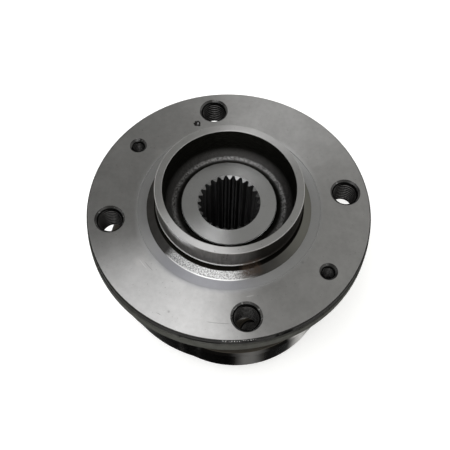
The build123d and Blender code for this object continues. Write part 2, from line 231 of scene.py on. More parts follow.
class Finish(Tree):
    """The node tree of one material, measured in millimetres on Object coordinates."""

    def __init__(self, name):
        self.material = bpy.data.materials.new(name)
        self.material.use_nodes = True
        super().__init__(self.material.node_tree)
        self.tree.nodes.clear()
        metres = self.add("ShaderNodeTexCoord", output=3)
        self.place = self.scaled(metres, 1 / MM)
        self.x, self.y, self.z = self.parts(self.place)
        self.radius = (self.x * self.x + self.y * self.y) ** 0.5
        self.azimuth = self.y.maths("ARCTAN2", self.x) * math.degrees(1.0)

    def scaled(self, vector, factor):
        return self.add("ShaderNodeVectorMath", {0: vector, 3: factor}, operation="SCALE")

    def parts(self, vector):
        split = self.add("ShaderNodeSeparateXYZ", {0: vector})
        node = split.socket.node
        return [Value(self, node.outputs[axis]) for axis in range(3)]

    def vector(self, x, y, z):
        return self.add("ShaderNodeCombineXYZ", {0: x, 1: y, 2: z})

    def stretched(self, x, y, z):
        """The place with each axis drawn out, so that what is laid on it looks longer."""
        return self.vector(self.x * x, self.y * y, self.z * z)

    def above(self, value, edge, softness=0.06):
        """0 below the edge and 1 above it, with a soft step between."""
        inputs = {0: value, 1: edge - softness, 2: edge + softness, 3: 0.0, 4: 1.0}
        return self.add("ShaderNodeMapRange", inputs, interpolation_type="SMOOTHSTEP")

    def below(self, value, edge, softness=0.06):
        inputs = {0: value, 1: edge - softness, 2: edge + softness, 3: 1.0, 4: 0.0}
        return self.add("ShaderNodeMapRange", inputs, interpolation_type="SMOOTHSTEP")

    def within(self, value, low, high, softness=0.06):
        return self.above(value, low, softness) * self.below(value, high, softness)

    def noise(self, size, detail=2.0, roughness=0.5, place=None):
        """Cloudy noise, 0 to 1, whose features are about size millimetres."""
        inputs = {
            "Vector": place or self.place,
            "Scale": 1.0 / size,
            "Detail": detail,
            "Roughness": roughness,
        }
        return self.add("ShaderNodeTexNoise", inputs)

    def grooves(self, along, pitch, detail=1.0):
        """Tool marks, 0 to 1, that cross the direction of the value along."""
        inputs = {"W": along, "Scale": 1.0 / pitch, "Detail": detail, "Roughness": 0.6}
        return self.add("ShaderNodeTexNoise", inputs, noise_dimensions="1D")

    def blend(self, share, start, end):
        return self.add("ShaderNodeMix", {0: share, 2: start, 3: end}, data_type="FLOAT")

    def tint(self, share, start, end):
        inputs = {0: share, 6: start, 7: end}
        return self.add("ShaderNodeMix", inputs, output=2, data_type="RGBA")

    def distance(self, x, y):
        """How far a point is from the place (x, y), in the plane across the spin axis."""
        return ((self.x - x) ** 2.0 + (self.y - y) ** 2.0) ** 0.5


class Look:
    """The colour, roughness, metalness and height of a surface, laid on zone by zone."""

    def __init__(self, finish, colour, roughness, metal=1.0, height=0.0):
        self.finish = finish
        self.colour = opaque(colour)
        self.roughness = roughness
        self.metal = metal
        self.height = height

    def over(self, mask, colour=None, roughness=None, metal=None, height=None):
        finish = self.finish
        if colour is not None:
            self.colour = finish.tint(mask, self.colour, opaque(colour))
        if roughness is not None:
            self.roughness = finish.blend(mask, self.roughness, roughness)
        if metal is not None:
            self.metal = finish.blend(mask, self.metal, metal)
        if height is not None:
            self.height = finish.blend(mask, self.height, height)

    def done(self, **constants):
        """Feeds the shader and returns the material. Heights are in millimetres."""
        finish = self.finish
        shader = finish.add("ShaderNodeBsdfPrincipled", {
            "Base Color": self.colour,
            "Roughness": self.roughness,
            "Metallic": self.metal,
        })
        node = shader.socket.node
        if isinstance(self.height, Value):
            bump = finish.add("ShaderNodeBump", {
                "Strength": 1.0,
                "Distance": MM,
                "Height": self.height,
            })
            finish.feed(node.inputs["Normal"], bump)
        for name, value in constants.items():
            node.inputs[name.replace("_", " ")].default_value = value
        finish.add("ShaderNodeOutputMaterial", {0: shader})
        return finish.material


def opaque(colour):
    """A colour with its alpha, unless it is a socket already."""
    return colour if isinstance(colour, Value) else (*colour, 1.0)


def grey(level, warmth=0.0):
    """A grey of that level, a little warmer or cooler."""
    return (level * (1 + warmth), level, level * (1 - warmth))


# ---------------------------------------------------------------- finishes


def hole_distance(finish, circle, count, first):
    """Distance to the axis of the nearest hole of an even circle of holes."""
    step = 360.0 / count
    off = (finish.azimuth + (step / 2 - first)) % step - step / 2
    along = (off * math.radians(1.0)).maths("COSINE") * finish.radius
    return (finish.radius * finish.radius - along * (2 * circle) + circle ** 2) ** 0.5


def turned_face(finish, look):
    """The wheel face: concentric tool marks over a cloudy tone, with handling marks."""
    radius = finish.radius
    cloud = finish.noise(11.0, 3.0, 0.6)
    rub = finish.noise(1.3, 3.0, 0.7, finish.stretched(1.0, 0.35, 1.0))
    bands = finish.grooves(radius, 1.4, 2.0)
    tone = finish.above(cloud * 0.55 + finish.noise(2.6, 3.0, 0.6) * 0.45, 0.5, 0.24)
    colour = finish.tint(tone, opaque(grey(0.49, 0.01)), opaque(grey(0.6, 0.01)))
    mask = finish.above(finish.z, -0.3) * finish.above(radius, RELIEF_OUTER, 0.5)
    roughness = 0.24 + cloud * 0.05 + rub * 0.05 + bands * 0.03
    look.over(mask, colour, roughness, height=finish.grooves(radius, 0.5, 1.0) * FACE_FEED)
    specks = finish.above(finish.noise(0.8, 1.0, 0.5), 0.74, 0.03) * mask
    look.over(specks * 0.5, grey(0.2, 0.04))


def face_marks(finish, look):
    """The centre-punched mark and the scuffs and stains on the wheel face."""
    flat = finish.above(finish.z, -1.2)
    ragged = finish.noise(0.7, 2.0) * 0.5
    punch = finish.distance(*PUNCH_MARK) + finish.noise(1.1, 2.0) * 2.0 - 0.8
    look.over(finish.within(punch, 0.7, 1.9, 0.2) * flat, grey(0.04, 0.05), 0.55)
    for x, y, reach, level in FACE_STAINS:
        spot = finish.distance(x, y) + finish.noise(2.5, 3.0) * reach
        look.over(finish.below(spot, reach, reach * 0.4) * flat * 0.5, grey(level, 0.02), 0.42)
    for radius, start, end, level in FACE_SCRATCHES:
        turn = finish.within(finish.azimuth, start, end, 1.0)
        line = finish.within(finish.radius + ragged * 0.4, radius, radius + 0.25, 0.08)
        look.over(turn * line * flat * 0.6, grey(level), 0.5)


def relief_and_foot(finish, look):
    """The duller ring turned round the collar's foot, and the grainy foot itself."""
    radius, z = finish.radius, finish.z
    cloud = finish.noise(4.0, 3.0, 0.6)
    wander = radius + cloud * 1.4 - 0.7
    relief = finish.above(radius, FOOT_OUTER, 0.1) * finish.below(wander, RELIEF_OUTER + 0.7, 1.7)
    relief = relief * finish.within(z, -0.4, 1.0)
    # Painted shade: the relief is painted darker and bluer on the near stretch, and its step a
    # lighter grey there, also painted light.
    near = finish.within(finish.azimuth, *SHADED_RELIEF, 14.0)
    pale = finish.tint(cloud, opaque(grey(0.57)), opaque(grey(0.67)))
    relief_shade = finish.tint(cloud, (0.34, 0.34, 0.365, 1.0), (0.47, 0.47, 0.495, 1.0))
    look.over(relief, finish.tint(near, pale, relief_shade), 0.46 + cloud * 0.12, height=0.0)
    step = finish.within(radius, RELIEF_OUTER - 0.16, RELIEF_OUTER + 0.05, 0.04)
    level = finish.tint(near, opaque(grey(0.17)), opaque(grey(0.38)))
    look.over(step * finish.above(z, -0.3), level, 0.8, metal=0.0, height=0.0)

    grain = finish.noise(0.55, 2.0, 0.6)
    foot = finish.within(radius, FOOT_INNER, FOOT_OUTER, 0.1) * finish.within(z, -0.2, 2.6)
    # Painted highlight: on the near stretch the foot's grains are painted bright, with a bright
    # line painted along its outer edge.
    start, end = HIGHLIT_FOOT
    foot_highlight = finish.above(finish.azimuth, start, 4.0) * finish.below(finish.azimuth, end, 11.0)
    foot_highlight = foot * foot_highlight
    look.over(foot, finish.tint(cloud, opaque(grey(0.05, 0.04)), opaque(grey(0.1, 0.04))), 0.38)
    # Painted reflection: the foot is painted a lighter olive on the right-hand stretch.
    right = finish.within(finish.azimuth, *LIT_OLIVE_FOOT, 22.0)
    look.over(foot * right, (0.22, 0.217, 0.195), 0.42)
    sparkle = finish.tint(finish.above(grain, 0.5, 0.2), opaque(grey(0.24)), opaque(grey(0.8)))
    look.over(foot_highlight, sparkle, 0.36, height=grain * 0.12)
    edge = finish.within(radius, FOOT_OUTER - 0.45, FOOT_OUTER + 0.05, 0.1) * foot_highlight
    look.over(edge, grey(0.95), 0.3)

    # Painted shade: the undercut is painted near-black.
    undercut = finish.within(radius, UNDERCUT_INSIDE, FOOT_INNER + 0.4)
    undercut = undercut * finish.within(z, *UNDERCUT_SPAN)
    look.over(undercut, (0.012, 0.011, 0.009), 0.45)


def pilot_collar(finish, look):
    """The turned wall that centres the wheel, with patches of painted highlight and shade and a
    brown patch, and its flat rim.
    """
    radius, z = finish.radius, finish.z
    streaks = finish.noise(1.2, 3.0, 0.65, finish.vector(finish.azimuth * 0.45, 0.0, z * 0.12))
    wall = finish.above(radius, COLLAR_WALL_INSIDE) * finish.within(z, 5.5, COLLAR_TOP - 0.2)
    colour = finish.tint(streaks, opaque(grey(0.05, 0.04)), opaque(grey(0.30, 0.03)))
    look.over(wall, colour, 0.24 + streaks * 0.1, height=finish.grooves(z, 0.5) * 0.004)
    # Painted highlight: a bright band under the rim on the near left of the wall.
    collar_highlight = finish.within(finish.azimuth, *HIGHLIT_COLLAR, 8.0) * finish.above(z, 14.0, 2.0)
    look.over(wall * collar_highlight * (0.5 + streaks), grey(0.85))
    # Painted shade: the wall is painted darker on the right-hand stretch.
    look.over(wall * finish.within(finish.azimuth, *SHADED_COLLAR, 10.0), grey(0.035, 0.08))
    # Painted highlight: the ridge at the wall's foot is painted light on the near and left-hand
    # stretch.
    lip = finish.above(radius, LIP_INSIDE) * finish.within(z, *LIP_SPAN, 0.1)
    look.over(lip * finish.within(finish.azimuth, *HIGHLIT_LIP, 14.0), grey(0.75), 0.34)
    # A brown patch painted round the foot of the collar.
    turn = finish.azimuth + streaks * 10.0 - 5.0
    brown_patch = finish.within(turn, *BROWN_COLLAR_PATCH, 2.5)
    brown_patch = brown_patch * finish.within(radius, COLLAR_WALL_INSIDE, 36.5, 1.5)
    brown_patch = brown_patch * finish.within(z, -0.2, 8.0, 2.0)
    brown_patch = brown_patch * finish.above(finish.noise(1.6, 3.0), 0.4, 0.15)
    look.over(brown_patch * 0.75, (0.11, 0.078, 0.06), 0.45)

    rim = finish.above(z, COLLAR_TOP - 0.2)
    cloud = finish.noise(3.0, 3.0, 0.6)
    colour = finish.tint(cloud, opaque(grey(0.53, 0.01)), opaque(grey(0.62, 0.01)))
    look.over(rim, colour, 0.33 + cloud * 0.06, height=0.0)
    nicks = finish.above(finish.noise(1.0, 2.0, 0.6), 0.72, 0.03) * rim
    look.over(nicks * 0.7, grey(0.1), 0.5)


def forged_recess(finish, look):
    """The forged hollow between collar and boss, black, with painted light on its floor."""
    radius, z = finish.radius, finish.z
    inside = finish.within(radius, BOSS_RADIUS - 0.05, RECESS_RADIUS + 0.2)
    recess = inside * finish.within(z, RECESS_FLOOR - 0.3, COLLAR_TOP - 0.25)
    grain = finish.noise(0.75, 3.0, 0.7)
    lumps = finish.noise(2.2, 2.0, 0.5)
    rough_skin = grain * 0.25 + lumps * 0.3
    black = finish.tint(lumps, (0.006, 0.0058, 0.005, 1.0), (0.02, 0.0195, 0.0165, 1.0))
    look.over(recess, black, 0.5, height=rough_skin)
    # Painted light: the floor is painted a lighter grey but left black next to the boss as painted
    # shade, and carries a bright granular ring of painted highlight, brighter on the right and far
    # stretch.
    floor = inside * finish.below(z, RECESS_FLOOR + 2.6, 1.6)
    look.over(floor * finish.above(radius, LIT_FLOOR_INSIDE, 0.5), grey(0.07, 0.03))
    off = abs(radius + lumps * 0.8 - 0.4 - FLOOR_HIGHLIGHT_RADIUS)
    floor_highlight = finish.below(off, 0.85, 0.5) * floor
    speckle = finish.above(grain, 0.5, 0.22)
    brighter_highlight = finish.within(finish.azimuth, *BRIGHT_FLOOR_STRETCH, 22.0)
    dull = finish.tint(speckle, opaque(grey(0.03, 0.03)), opaque(grey(0.32, 0.02)))
    bright = finish.tint(speckle, opaque(grey(0.09, 0.02)), opaque(grey(0.5, 0.01)))
    look.over(floor_highlight, finish.tint(brighter_highlight, dull, bright), 0.42)


def boss_and_bore(finish, look):
    """The smooth turned boss and the dark splined bore through it."""
    radius, z = finish.radius, finish.z
    cloud = finish.noise(5.0, 3.0, 0.6)
    boss = finish.below(radius, BOSS_RADIUS) * finish.above(z, BOSS_TOP - 0.3)
    colour = finish.tint(cloud, opaque(grey(0.58)), opaque(grey(0.68)))
    look.over(boss, colour, 0.17 + cloud * 0.05, height=finish.grooves(radius, 0.5) * 0.003)
    marks = finish.above(finish.noise(1.1, 2.0, 0.6), 0.73, 0.03) * boss
    look.over(marks * 0.6, grey(0.14), 0.4)

    bore = finish.below(radius, BORE_RADIUS + 0.08) * finish.below(z, BOSS_TOP - 0.05, 0.02)
    along = finish.noise(1.0, 3.0, 0.6, finish.vector(finish.azimuth * 0.5, 0.0, z * 0.05))
    colour = finish.tint(along, opaque(grey(0.002)), opaque(grey(0.1)))
    look.over(bore, colour, 0.55, height=finish.noise(0.6, 2.0) * 0.02)
    lead_in = BORE_RADIUS - (BOSS_TOP - z) * LEAD_IN_SLOPE
    # Painted highlight: the lead-in tips are painted lighter on the far half only.
    tips = finish.below(radius - lead_in, 0.14, 0.05) * finish.within(z, BOSS_TOP - 0.95, BOSS_TOP)
    look.over(tips * finish.above(finish.y, -3.0, 5.0), grey(0.3), 0.35, height=0.0)


def flange_rim(finish, look):
    """The rim of the wheel flange: a dark turned band above a paler forged one."""
    radius, z = finish.radius, finish.z
    edge = finish.above(radius, FLANGE_RIM - 2.5)
    around = finish.vector(finish.azimuth * 1.1, 0.0, z * 0.6)
    stain = finish.noise(4.0, 3.0, 0.6, around)
    turned = edge * finish.within(z, TURNED_BAND_END, -0.05)
    # Painted shade: the turned band is painted near-black for the dark surroundings it reflects.
    colour = finish.tint(stain, opaque(grey(0.018, 0.02)), opaque(grey(0.06, 0.02)))
    look.over(turned, colour, 0.3 + stain * 0.1, height=finish.grooves(z, 0.5) * 0.006)
    forged = edge * finish.below(z, TURNED_BAND_END)
    colour = finish.tint(stain, (0.042, 0.042, 0.038, 1.0), (0.12, 0.12, 0.109, 1.0))
    look.over(forged, colour, 0.5, height=finish.noise(0.7, 2.0) * 0.05)
    chipped = finish.within(finish.azimuth, *CHIPPED_EDGE, 1.5) * finish.above(z, -0.8, 0.1)
    chips = chipped * finish.above(finish.noise(0.6, 2.0), 0.6, 0.05)
    look.over(chips * finish.above(radius, FLANGE_RIM - 1.0, 0.2), grey(0.8), 0.3)
    for start, end, low, high in RIM_NICKS:
        bruise = finish.within(finish.azimuth, start, end, 0.8) * finish.within(z, low, high, 0.3)
        look.over(bruise * edge * finish.above(stain, 0.42, 0.06), grey(0.008), 0.6)
    nicks = finish.above(finish.noise(1.5, 3.0, 0.7, around), 0.66, 0.04)
    nicks = nicks * edge * finish.within(z, TURNED_BAND_END - 1.2, -0.3, 0.5)
    look.over(nicks, grey(0.012), 0.6)


def flange_back(finish, look):
    """All of the hub behind the flange, turned coarser than the face."""
    back = finish.within(finish.radius, BORE_RADIUS + 0.3, FLANGE_RIM - 1.0)
    back = back * finish.below(finish.z, FLANGE_BACK + 0.3)
    cloud = finish.noise(7.0, 3.0, 0.6)
    colour = finish.tint(cloud, opaque(grey(0.14, 0.02)), opaque(grey(0.26, 0.02)))
    look.over(back, colour, 0.36 + cloud * 0.08, height=finish.grooves(finish.radius, 0.5) * 0.05)


def drilled_holes(finish, look):
    """Near-black walls and dull countersinks of the holes through the flange."""
    bolt = hole_distance(finish, *WHEEL_BOLTS) - WHEEL_HOLE_REACH
    screw = hole_distance(finish, *DISC_SCREWS) - SCREW_HOLE_REACH
    wall = finish.below(bolt.least(screw), 0.0, 0.04) * finish.below(finish.z, -0.02, 0.02)
    # Painted shade: the hole walls are painted near-black.
    black = finish.tint(finish.noise(1.5), opaque(grey(0.004, 0.04)), opaque(grey(0.014, 0.03)))
    look.over(wall, black, 0.36, height=0.0)
    countersink = wall * finish.above(finish.z, -1.0, 0.1)
    look.over(countersink, grey(0.12, 0.01), 0.34)
    look.over(countersink * finish.above(finish.noise(1.2, 2.0), 0.66, 0.04), grey(0.4), 0.3)


def hub_finish():
    """Turned steel with forged hollows: one look per zone of the hub."""
    finish = Finish("hub_steel")
    look = Look(finish, grey(0.2), 0.4)
    turned_face(finish, look)
    face_marks(finish, look)
    relief_and_foot(finish, look)
    pilot_collar(finish, look)
    forged_recess(finish, look)
    boss_and_bore(finish, look)
    flange_rim(finish, look)
    flange_back(finish, look)
    drilled_holes(finish, look)
    return look.done(
        Anisotropic=0.88, Anisotropic_Rotation=0.25, Specular_Tint=(0.45, 0.45, 0.45, 1.0))


def outer_ring_finish():
    """Steel painted near-black as painted shade, with painted reflection streaks, paler on the
    spigot.
    """
    finish = Finish("ring_steel")
    cloud = finish.noise(14.0, 3.0, 0.6)
    runs = finish.noise(1.0, 3.0, 0.6, finish.vector(finish.azimuth * 0.12, 0.0, finish.z * 0.02))
    # Painted shade: the ring's near-black stands in for the dark room it reflects.
    dark = finish.tint(runs, opaque(grey(0.003, 0.08)), opaque(grey(0.012, 0.06)))
    look = Look(finish, dark, 0.24 + cloud * 0.1, height=finish.grooves(finish.z, 0.5) * 0.006)
    for azimuth, width, level in RING_REFLECTIONS:
        streak = finish.below(abs(finish.azimuth - azimuth), width, width)
        look.over(streak * (0.5 + cloud), grey(level, 0.02))
    top = finish.within(finish.z, MOUNT_TOP - 0.1, MOUNT_TOP + 0.3, 0.05)
    look.over(top, finish.tint(cloud, (0.09, 0.08, 0.066, 1.0), (0.15, 0.136, 0.115, 1.0)), 0.55)
    mouth = hole_distance(finish, *KNUCKLE_BOLTS) - MOUNT_HOLE_REACH
    look.over(finish.below(mouth, 0.0), (0.04, 0.035, 0.028), 0.6)
    spigot = finish.below(finish.z, MOUNT_FACE + 0.1)
    look.over(spigot, grey(0.3), 0.3)
    return look.done(Specular_Tint=(0.3, 0.3, 0.3, 1.0))


def ground_finish(name, level, roughness):
    """Fine ground bearing steel."""
    finish = Finish(name)
    marks = finish.grooves(finish.z, 0.12)
    cloud = finish.noise(4.0)
    colour = finish.tint(cloud, opaque(grey(level * 0.92)), opaque(grey(level)))
    look = Look(finish, colour, roughness + cloud * 0.05, height=marks * 0.003)
    return look.done()


def sheet_finish():
    """Pressed sheet steel with a dull skin."""
    finish = Finish("seal_sheet")
    cloud = finish.noise(3.0, 3.0)
    colour = finish.tint(cloud, opaque(grey(0.2)), opaque(grey(0.32, 0.02)))
    look = Look(finish, colour, 0.34 + cloud * 0.12, height=cloud * 0.02)
    return look.done()


def rubber_finish(name, colour):
    """Matt moulded rubber."""
    finish = Finish(name)
    cloud = finish.noise(2.5, 3.0)
    skin = finish.noise(0.4, 2.0)
    pale = tuple(min(1.0, channel * 1.5 + 0.004) for channel in colour)
    tone = finish.tint(cloud, opaque(colour), opaque(pale))
    look = Look(finish, tone, 0.6 + cloud * 0.15, metal=0.0, height=skin * 0.02)
    return look.done()


def nylon_finish():
    """Moulded nylon of the cages."""
    finish = Finish("cage_nylon")
    cloud = finish.noise(3.0, 3.0)
    colour = finish.tint(cloud, (0.42, 0.33, 0.19, 1.0), (0.55, 0.46, 0.29, 1.0))
    look = Look(finish, colour, 0.45 + cloud * 0.1, metal=0.0, height=finish.noise(0.5) * 0.015)
    return look.done()


def thread_finish():
    """Cut thread: crests painted grey as painted highlight, over roots painted near-black as
    painted shade.
    """
    finish = Finish("thread_steel")
    cloud = finish.noise(1.2, 2.0)
    look = Look(finish, grey(0.004, 0.02), 0.55)
    wheel = hole_distance(finish, *WHEEL_BOLTS) - WHEEL_THREAD
    screw = (hole_distance(finish, *DISC_SCREWS) - SCREW_THREAD) * 1.5
    mount = hole_distance(finish, *KNUCKLE_BOLTS) - MOUNT_THREAD
    depth = finish.blend(finish.above(finish.z, MOUNT_TOP + 4.0), mount, wheel.least(screw))
    crest = finish.below(depth, -0.66, 0.08)
    colour = finish.tint(cloud, opaque(grey(0.02, 0.02)), opaque(grey(0.17, 0.02)))
    look.over(crest, colour, 0.32 + cloud * 0.1)
    return look.done(Specular_Tint=(0.05, 0.05, 0.05, 1.0))


# ---------------------------------------------------------------- threads

# Rows across a thread ridge: inward share of its depth, and height as a share of the pitch.
THREAD_PROFILE = ((0.0, -0.44), (1.0, -0.07), (1.0, 0.07), (0.0, 0.44), (0.0, -0.44))
THREAD_BURY = 0.03 * MM             # how deep the ridge's foot lies in the wall
THREAD_RUN_OUT = 3.0                # one over the turns that a ridge takes to reach its height


def thread_tree():
    """Node group for ridges of a screw thread in each hole of a circle of holes."""
    group = bpy.data.node_groups.new("screw_threads", "GeometryNodeTree")
    sockets = group.interface
    sockets.new_socket("Geometry", in_out="INPUT", socket_type="NodeSocketGeometry")
    for name in ("Radius", "Depth", "Pitch", "Turns", "Top", "Circle", "First Angle"):
        sockets.new_socket(name, in_out="INPUT", socket_type="NodeSocketFloat")
    for name in ("Holes", "Steps"):
        sockets.new_socket(name, in_out="INPUT", socket_type="NodeSocketInt")
    sockets.new_socket("Material", in_out="INPUT", socket_type="NodeSocketMaterial")
    sockets.new_socket("Geometry", in_out="OUTPUT", socket_type="NodeSocketGeometry")

    tree = Tree(group)
    given = group.nodes.new("NodeGroupInput")
    size = {socket.name: Value(tree, socket) for socket in given.outputs}
    rows = len(THREAD_PROFILE)
    strip = tree.add("GeometryNodeMeshGrid", {0: 1.0, 1: 1.0, 2: size["Steps"], 3: rows})
    index = tree.add("GeometryNodeInputIndex")
    row = index % float(rows)
    turn = (index - row) / float(rows) / (size["Steps"] - 1.0)
    ends = turn.least(1.0 - turn) * size["Turns"] * THREAD_RUN_OUT
    swell = ends.least(1.0)

    inward = profile_value(tree, row, 0)
    axial = profile_value(tree, row, 1)
    angle = turn * size["Turns"] * math.tau
    reach = size["Radius"] + (THREAD_BURY - inward * (size["Depth"] + THREAD_BURY)) * swell
    height = size["Top"] + (axial * swell - turn * size["Turns"]) * size["Pitch"]
    place = tree.add("ShaderNodeCombineXYZ", {
        0: reach * angle.maths("COSINE"),
        1: reach * angle.maths("SINE"),
        2: height,
    })
    ridge = tree.add("GeometryNodeSetPosition", {"Geometry": strip, "Position": place})
    closed = tree.add("GeometryNodeMergeByDistance", {"Geometry": ridge, "Distance": 1e-6})
    spot = size["First Angle"] + index * math.tau / size["Holes"]
    centre = tree.add("ShaderNodeCombineXYZ", {
        0: size["Circle"] * spot.maths("COSINE"),
        1: size["Circle"] * spot.maths("SINE"),
    })
    holes = tree.add("GeometryNodePoints", {"Count": size["Holes"], "Position": centre})
    copies = tree.add("GeometryNodeInstanceOnPoints", {"Points": holes, "Instance": closed})
    real = tree.add("GeometryNodeRealizeInstances", {"Geometry": copies})
    painted = tree.add("GeometryNodeSetMaterial", {"Geometry": real, "Material": size["Material"]})
    result = group.nodes.new("NodeGroupOutput")
    group.links.new(painted.socket, result.inputs[0])
    return group


def profile_value(tree, row, column):
    """The entry of THREAD_PROFILE for a row number that the tree works out."""
    total = tree.number(THREAD_PROFILE[0][column])
    for number in range(1, len(THREAD_PROFILE)):
        step = THREAD_PROFILE[number][column] - THREAD_PROFILE[number - 1][column]
        total = total + row.maths("GREATER_THAN", number - 0.5) * step
    return total


def make_threads(name, body, material, sizes):
    """A plain mesh of the thread ridges of one circle of holes, riding on its body."""
    group = bpy.data.node_groups.get("screw_threads") or thread_tree()
    seed = bpy.data.objects.new(name + "_seed", bpy.data.meshes.new(name + "_seed"))
    bpy.context.scene.collection.objects.link(seed)
    modifier = seed.modifiers.new("threads", "NODES")
    modifier.node_group = group
    values = {**sizes, "Material": material}
    for item in group.interface.items_tree:
        if item.in_out == "INPUT" and item.name in values:
            modifier[item.identifier] = values[item.name]
    bpy.context.view_layer.update()
    evaluated = seed.evaluated_get(bpy.context.evaluated_depsgraph_get())
    mesh = bpy.data.meshes.new_from_object(evaluated)
    bpy.data.objects.remove(seed)
    return add_piece(name, mesh, body, material)


def add_piece(name, mesh, body, material):
    """Links a finished mesh as a piece of the object, with its faces outwards."""
    work = bmesh.new()
    work.from_mesh(mesh)
    bmesh.ops.recalc_face_normals(work, faces=work.faces)
    work.to_mesh(mesh)
    work.free()
    mesh.name = name
    mesh.materials.clear()
    mesh.materials.append(material)
    mesh.polygons.foreach_set("material_index", [0] * len(mesh.polygons))
    piece = bpy.data.objects.new(name, mesh)
    bpy.context.scene.collection.objects.link(piece)
    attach(piece, body)
    return piece


def paint(material, *nodes):
    """Gives CAD nodes a material."""
    for node in nodes:
        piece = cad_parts[node]
        piece.data.materials.clear()
        piece.data.materials.append(material)


# ---------------------------------------------------------------- settings


class HubThreadSizes(bpy.types.PropertyGroup):
    """Sizes of the cut threads."""

    wheel_radius: FloatProperty(
        name="Wheel Thread Radius", description="Major radius of the wheel bolt thread",
        default=WHEEL_THREAD * MM, unit="LENGTH", precision=5)
    wheel_pitch: FloatProperty(
        name="Wheel Thread Pitch", description="Distance between two turns",
        default=1.5 * MM, unit="LENGTH", precision=5)
    screw_radius: FloatProperty(
        name="Screw Thread Radius", description="Major radius of the disc screw thread",
        default=SCREW_THREAD * MM, unit="LENGTH", precision=5)
    screw_pitch: FloatProperty(
        name="Screw Thread Pitch", description="Distance between two turns",
        default=1.0 * MM, unit="LENGTH", precision=5)
    mount_radius: FloatProperty(
        name="Mount Thread Radius", description="Major radius of the knuckle bolt thread",
        default=MOUNT_THREAD * MM, unit="LENGTH", precision=5)
    mount_pitch: FloatProperty(
        name="Mount Thread Pitch", description="Distance between two turns",
        default=1.5 * MM, unit="LENGTH", precision=5)
    turn_steps: IntProperty(
        name="Steps per Turn", description="Straight runs in one turn of a ridge",
        default=30, min=8, max=64)


class HubStudio(bpy.types.PropertyGroup):
    """Camera, lamps and backdrop."""

    azimuth: FloatProperty(
        name="Camera Azimuth", description="Direction of the camera from the hub",
        default=math.radians(-99.362), subtype="ANGLE")
    elevation: FloatProperty(
        name="Camera Elevation", description="Height of the camera as an angle",
        default=math.radians(59.946), subtype="ANGLE")
    distance: FloatProperty(
        name="Camera Distance", description="From the centre of the wheel face",
        default=311.905 * MM, unit="LENGTH")
    aim: FloatVectorProperty(
        name="Camera Aim", description="Point of the wheel face in the middle of the frame",
        default=(-3.145 * MM, -9.825 * MM, 0.0), subtype="XYZ", size=3)
    roll: FloatProperty(
        name="Camera Roll", description="Turn of the camera about its own axis",
        default=math.radians(1.178), subtype="ANGLE")
    lens: FloatProperty(
        name="Lens", description="Focal length in millimetres", default=54.98)
    floor_size: FloatProperty(
        name="Floor Size", description="Side of the floor", default=6.0, unit="LENGTH")
    floor_glow: FloatProperty(
        name="Floor Glow", description="Light the eye sees from the floor itself", default=0.28)
    room_light: FloatProperty(
        name="Room Light", description="Light the room sheds on matt surfaces", default=0.8)
    ceiling: FloatProperty(
        name="Ceiling", description="Brightness of the room above the lamps", default=0.19)
    ceiling_slope: FloatProperty(
        name="Ceiling Slope", description="How much brighter the room is on the right",
        default=3.2)


# ---------------------------------------------------------------- operators


class HubOperator(bpy.types.Operator):
    """Shared settings of the operators."""

    bl_options = {"REGISTER", "UNDO"}


class HUB_OT_finish_hub(HubOperator):
    """Give the hub forging its turned, forged and splined surfaces"""

    bl_idname = "hub.finish_hub"
    bl_label = "Finish Hub"

    def execute(self, context):
        paint(hub_finish(), "wheel_hub")
        return {"FINISHED"}


class HUB_OT_finish_outer_ring(HubOperator):
    """Give the outer ring its near-black steel, painted shade with painted reflection streaks"""

    bl_idname = "hub.finish_outer_ring"
    bl_label = "Finish Outer Ring"

    def execute(self, context):
        paint(outer_ring_finish(), "outer_ring")
        return {"FINISHED"}


class HUB_OT_finish_bearing(HubOperator):
    """Give the inner ring, balls and cages their steel and nylon"""

    bl_idname = "hub.finish_bearing"
    bl_label = "Finish Bearing"

    def execute(self, context):
        paint(ground_finish("bearing_steel", 0.55, 0.2), "inner_ring")
        balls = [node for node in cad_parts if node.startswith("ball_")]
        paint(ground_finish("ball_steel", 0.7, 0.06), *balls)
        paint(nylon_finish(), "cage_outboard", "cage_inboard")
        return {"FINISHED"}


class HUB_OT_finish_seals(HubOperator):
    """Give the seals, slinger and speed ring their sheet steel and rubber"""

    bl_idname = "hub.finish_seals"
    bl_label = "Finish Seals"

    def execute(self, context):
        paint(sheet_finish(), "outboard_seal_case", "inboard_seal_case", "inboard_slinger")
        paint(rubber_finish("seal_rubber", (0.012, 0.012, 0.012)),
              "outboard_seal_lip", "inboard_seal_lip")
        paint(rubber_finish("encoder_rubber", (0.022, 0.017, 0.014)), "speed_encoder_ring")
        return {"FINISHED"}


